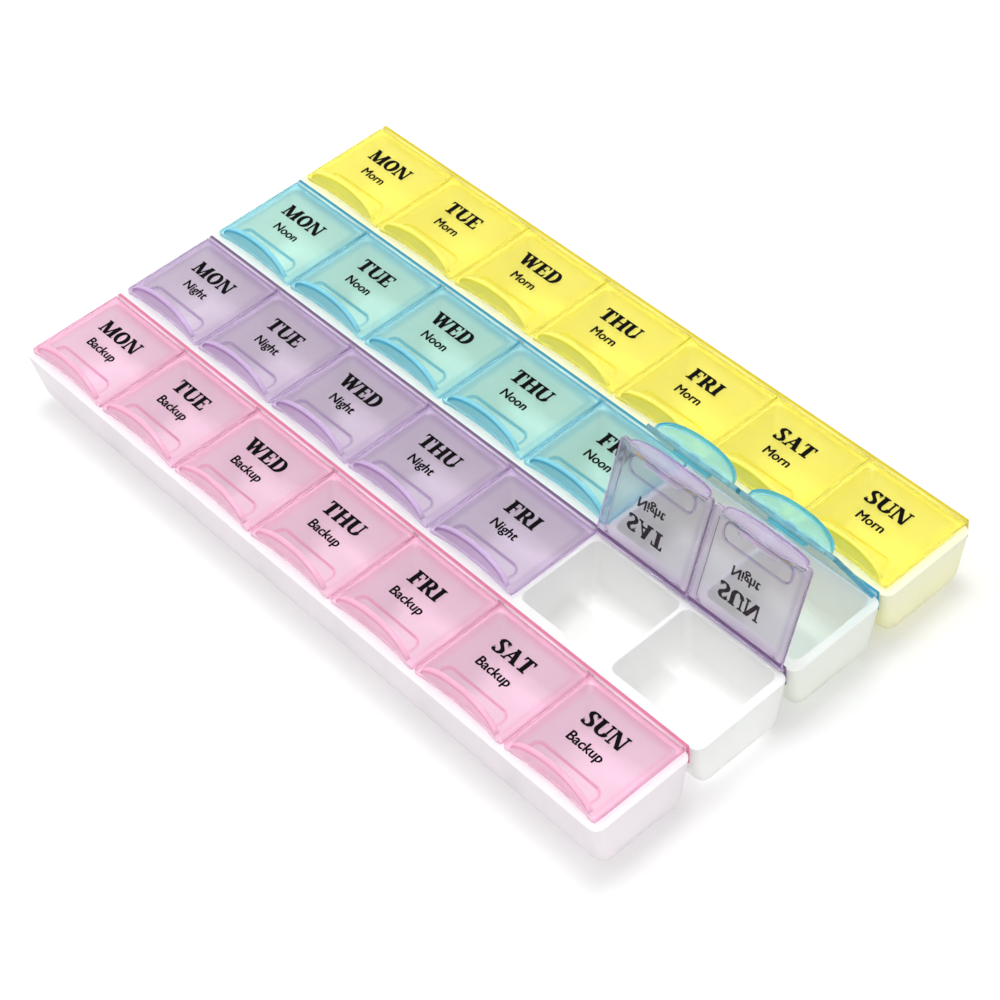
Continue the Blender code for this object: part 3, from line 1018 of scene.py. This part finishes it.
def lid_plastic(name, panel, edge, clearness, face, line=None):
    """Tinted translucent polypropylene: pale on a lid's panel, deep in its edges, milky on its tab, with a
    lighter colour painted there against the shade on the tab's faces.

    On a hinge rail a line of deep colour and painted shade, for the hinge's groove, takes the place of the
    depth, at that place in the rail's own Y.
    """
    material, tree, shader = new_material(name)
    place = object_coordinates(tree)
    # On a rail the depth is the line of painted shade along the hinge's groove.
    depth = attribute(tree, "colour_depth") if line is None else painted_rail_shade(tree, line)
    clouds = noise(tree, place, PALE_SIZE, CLOUD_DETAIL)
    paler = tuple(channel + (1.0 - channel) * PALE_SHARE for channel in panel[:3]) + (1.0,)
    thin = blended(tree, clouds, panel, paler)
    milk = attribute(tree, "milkiness")
    # Milky parts take the tab faces' colour, lightened as painted light against the shade on the tabs' front
    # faces.
    tint = blended(tree, depth, blended(tree, milk, thin, face), edge)
    tint.node.clamp_factor = False
    tree.links.new(tint, shader.inputs["Base Color"])
    tree.links.new(ranged(tree, clouds, *LID_ROUGHNESS), shader.inputs["Roughness"])
    tree.links.new(rippled(tree, place), shader.inputs["Normal"])
    clear = ranged(tree, milk, clearness, clearness * MILK_CLEARNESS_SHARE)
    tree.links.new(clear, shader.inputs["Transmission Weight"])
    shader.inputs["IOR"].default_value = PLASTIC_IOR
    let_lamps_through(tree, shader, LAMP_SHARE)
    return material


def tray_plastic(name, tint, foot_tint, clearness):
    """Frosted clear polypropylene, tinted towards its foot by the lids that light passes."""
    material, tree, shader = new_material(name)
    place = object_coordinates(tree)
    local = tree.nodes.new("ShaderNodeTexCoord")
    height = tree.nodes.new("ShaderNodeSeparateXYZ")
    tree.links.new(local.outputs["Object"], height.inputs["Vector"])
    rise = tree.nodes.new("ShaderNodeMapRange")
    rise.inputs["From Max"].default_value = TRAY_HIGH.z
    tree.links.new(height.outputs["Z"], rise.inputs["Value"])
    clouds = noise(tree, place, CLOUD_SIZE, CLOUD_DETAIL)
    # The colour holds painted light, tinted by the lids it came through, most towards the foot.
    colour = blended(tree, rise.outputs["Result"], foot_tint, tint)
    tree.links.new(colour, shader.inputs["Base Color"])
    tree.links.new(ranged(tree, clouds, *TRAY_ROUGHNESS), shader.inputs["Roughness"])
    tree.links.new(rippled(tree, place), shader.inputs["Normal"])
    shader.inputs["Transmission Weight"].default_value = clearness
    shader.inputs["IOR"].default_value = PLASTIC_IOR
    let_lamps_through(tree, shader, TRAY_LAMP_SHARE)
    return material


def ink_material():
    material, tree, shader = new_material("black_ink")
    place = object_coordinates(tree)
    wear = noise(tree, place, INK_WEAR_SIZE, INK_WEAR_DETAIL)
    tree.links.new(blended(tree, wear, INK_DARK, INK_LIGHT), shader.inputs["Base Color"])
    tree.links.new(ranged(tree, wear, *INK_ROUGHNESS), shader.inputs["Roughness"])
    shader.inputs["Specular IOR Level"].default_value = INK_GLOSS
    return material


def for_the_eye(tree):
    """1 for rays from the camera, or seen in gloss or through plastic, and 0 for light itself."""
    path = tree.nodes.new("ShaderNodeLightPath")
    total = path.outputs["Is Camera Ray"]
    for kind in ("Is Glossy Ray", "Is Transmission Ray"):
        larger = tree.nodes.new("ShaderNodeMath")
        larger.operation = "MAXIMUM"
        tree.links.new(total, larger.inputs[0])
        tree.links.new(path.outputs[kind], larger.inputs[1])
        total = larger.outputs["Value"]
    return total


def floor_material():
    """A white floor: it keeps shadows, and is lifted just to white for the eye."""
    material, tree, shader = new_material("studio_floor")
    shader.inputs["Roughness"].default_value = FLOOR_ROUGHNESS
    shader.inputs["Base Color"].default_value = FLOOR_COLOUR
    shader.inputs["Specular IOR Level"].default_value = 0.0
    shader.inputs["Emission Color"].default_value = WHITE
    lift = ranged(tree, for_the_eye(tree), 0.0, FLOOR_LIFT)
    tree.links.new(lift, shader.inputs["Emission Strength"])
    return material


def white_world():
    world = bpy.data.worlds.new("studio")
    world.use_nodes = True
    tree = world.node_tree
    background = tree.nodes["Background"]
    background.inputs["Color"].default_value = WHITE
    strength = ranged(tree, for_the_eye(tree), WORLD_LIGHT, 1.0)
    tree.links.new(strength, background.inputs["Strength"])
    bpy.context.scene.world = world


def soft_light(name, place, size, power):
    lamp = bpy.data.lights.new(name, "AREA")
    lamp.shape = "DISK"
    lamp.size = size
    lamp.energy = power
    made = put(name, lamp)
    made.location = place
    made.rotation_mode = "QUATERNION"
    made.rotation_quaternion = (-Vector(place)).to_track_quat("-Z", "Y")


def photo_camera():
    azimuth, elevation, roll = map(math.radians, (CAMERA_AZIMUTH, CAMERA_ELEVATION, CAMERA_ROLL))
    forward = Vector(
        (
            math.sin(azimuth) * math.cos(elevation),
            math.cos(azimuth) * math.cos(elevation),
            -math.sin(elevation),
        )
    )
    level = Vector((math.cos(azimuth), -math.sin(azimuth), 0.0))
    upright = level.cross(forward)
    right = math.cos(roll) * level + math.sin(roll) * upright
    upward = math.cos(roll) * upright - math.sin(roll) * level
    lens = bpy.data.cameras.new("photo_camera")
    lens.lens = CAMERA_LENS
    lens.sensor_width = SENSOR_WIDTH
    lens.clip_start = CAMERA_DISTANCE / CLIP_RANGE
    lens.clip_end = CAMERA_DISTANCE * CLIP_RANGE
    camera = put("photo_camera", lens)
    turned = Matrix((right, upward, -forward)).transposed().to_4x4()
    camera.matrix_world = Matrix.Translation(CAMERA_TARGET - forward * CAMERA_DISTANCE) @ turned
    bpy.context.scene.camera = camera


def turned_up(mesh, lid):
    """A mesh of a lid's piece as the lid stands at rest. Pieces that stand alike share one."""
    opened = rest_angle(lid)
    if not opened:
        return mesh
    dose = lid.split("_")[0]
    name = f"{mesh.name}_open_{dose}"
    if name not in bpy.data.meshes:
        standing = mesh.copy()
        standing.name = name
        standing.transform(Matrix.Rotation(-math.radians(opened), 4, "X"))
        # Standing lids take their own milk and colour depth: painted light, for how a standing lid is lit.
        scales = {"milkiness": OPEN_MILK[dose], "colour_depth": OPEN_DEPTH[dose]}
        for layer in [item for item in standing.attributes if item.name in scales]:
            values = [min(1.0, value.value * scales[layer.name]) for value in layer.data]
            layer.data.foreach_set("value", values)
    return bpy.data.meshes[name]


def on_lid(name, mesh, material, lid):
    """A piece in a lid's own axes, put at its hinge and turned up as far as the lid stands."""
    made = put_shared(name, turned_up(mesh, lid), material)
    made.location = hinge_point(lid)
    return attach(made, lid)


def build_lids(plastics, webs, black):
    lid = lid_mesh()
    day_words = {day: day_word(day) for day in DAYS}
    for dose, (word, slot) in DOSES.items():
        dose_ink = dose_word(word)
        for day in DAYS:
            name = lid_name(dose, day)
            shell = on_lid(name + "_shell", lid, plastics[dose], name)
            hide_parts(name)
            on_lid(name + "_day_ink", day_words[day], black, name)
            on_lid(name + "_dose_ink", dose_ink, black, name)
            build_web(name, webs[dose])


def build_web(lid, material):
    """A lid's web bends across the hinge's gap as the lid opens."""
    opened = rest_angle(lid)
    made = put(lid + "_web", web_mesh(opened))
    made.data.materials.append(material)
    hinge = hinge_point(lid)
    made.location = hinge
    reach = Vector((0.0, HINGE_GAP / 2, 0.0))
    turned = Matrix.Rotation(-math.radians(opened), 3, "X")
    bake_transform(made, "tray_set", lid, start=hinge + reach, end=hinge - turned @ reach)


def build_trays(plastics):
    shape = tray_mesh()
    for dose in DOSES:
        node = dose + "_tray"
        made = put_shared(node + "_shell", shape, plastics[dose])
        low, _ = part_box(node)
        made.location = (0.0, low.y, low.z)
        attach(made, "tray_set")
        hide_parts(node)


def finish_rails():
    """The hinge rails keep their solids, with rounded edges and a line of deep colour and painted shade, for
    the hinge's groove, along their backs.
    """
    for dose, (panel, _, _) in LID_LOOKS.items():
        rail = frame["nodes"][dose + "_hinge_rail"]
        # The painted shade of the hinge's groove runs this far behind the hinge.
        line = hinge_point(lid_name(dose, "mon")) + Vector((0.0, RAIL_SHADE_BEHIND, 0.0))
        middle = (rail.matrix_world.inverted() @ line).y
        name = dose + "_rail_plastic"
        plastic = lid_plastic(name, panel, RAIL_SHADE_LINES[dose], RAIL_CLEARNESS, panel, middle)
        weld = rail.modifiers.new("weld", "WELD")
        weld.merge_threshold = WELD
        bevel = rail.modifiers.new("rounds", "BEVEL")
        bevel.limit_method = "ANGLE"
        bevel.width = RAIL_ROUND
        bevel.segments = ROUND_STEPS
        rail.data.materials.clear()
        rail.data.materials.append(plastic)


def studio():
    bpy.ops.mesh.primitive_plane_add(size=FLOOR_SIZE)
    floor = bpy.context.object
    floor.name = "studio_floor"
    floor.data.materials.append(floor_material())
    white_world()
    for name, place, size, power in LAMPS:
        soft_light(name, place, size, power)


def main():
    lids, webs, trays = {}, {}, {}
    for dose, (panel, edge, clearness) in LID_LOOKS.items():
        lids[dose] = lid_plastic(dose + "_lid_plastic", panel, edge, clearness, LIGHTENED_TAB_FACES[dose])
        webs[dose] = lid_plastic(dose + "_web_plastic", panel, edge, RAIL_CLEARNESS, panel)
    for dose, look in TRAY_LOOKS.items():
        trays[dose] = tray_plastic(dose + "_tray_plastic", *look)
    build_lids(lids, webs, ink_material())
    build_trays(trays)
    finish_rails()
    studio()
    photo_camera()
    bpy.context.scene.view_settings.view_transform = "Standard"
    for kind, count in BOUNCES.items():
        setattr(bpy.context.scene.cycles, kind, count)


main()
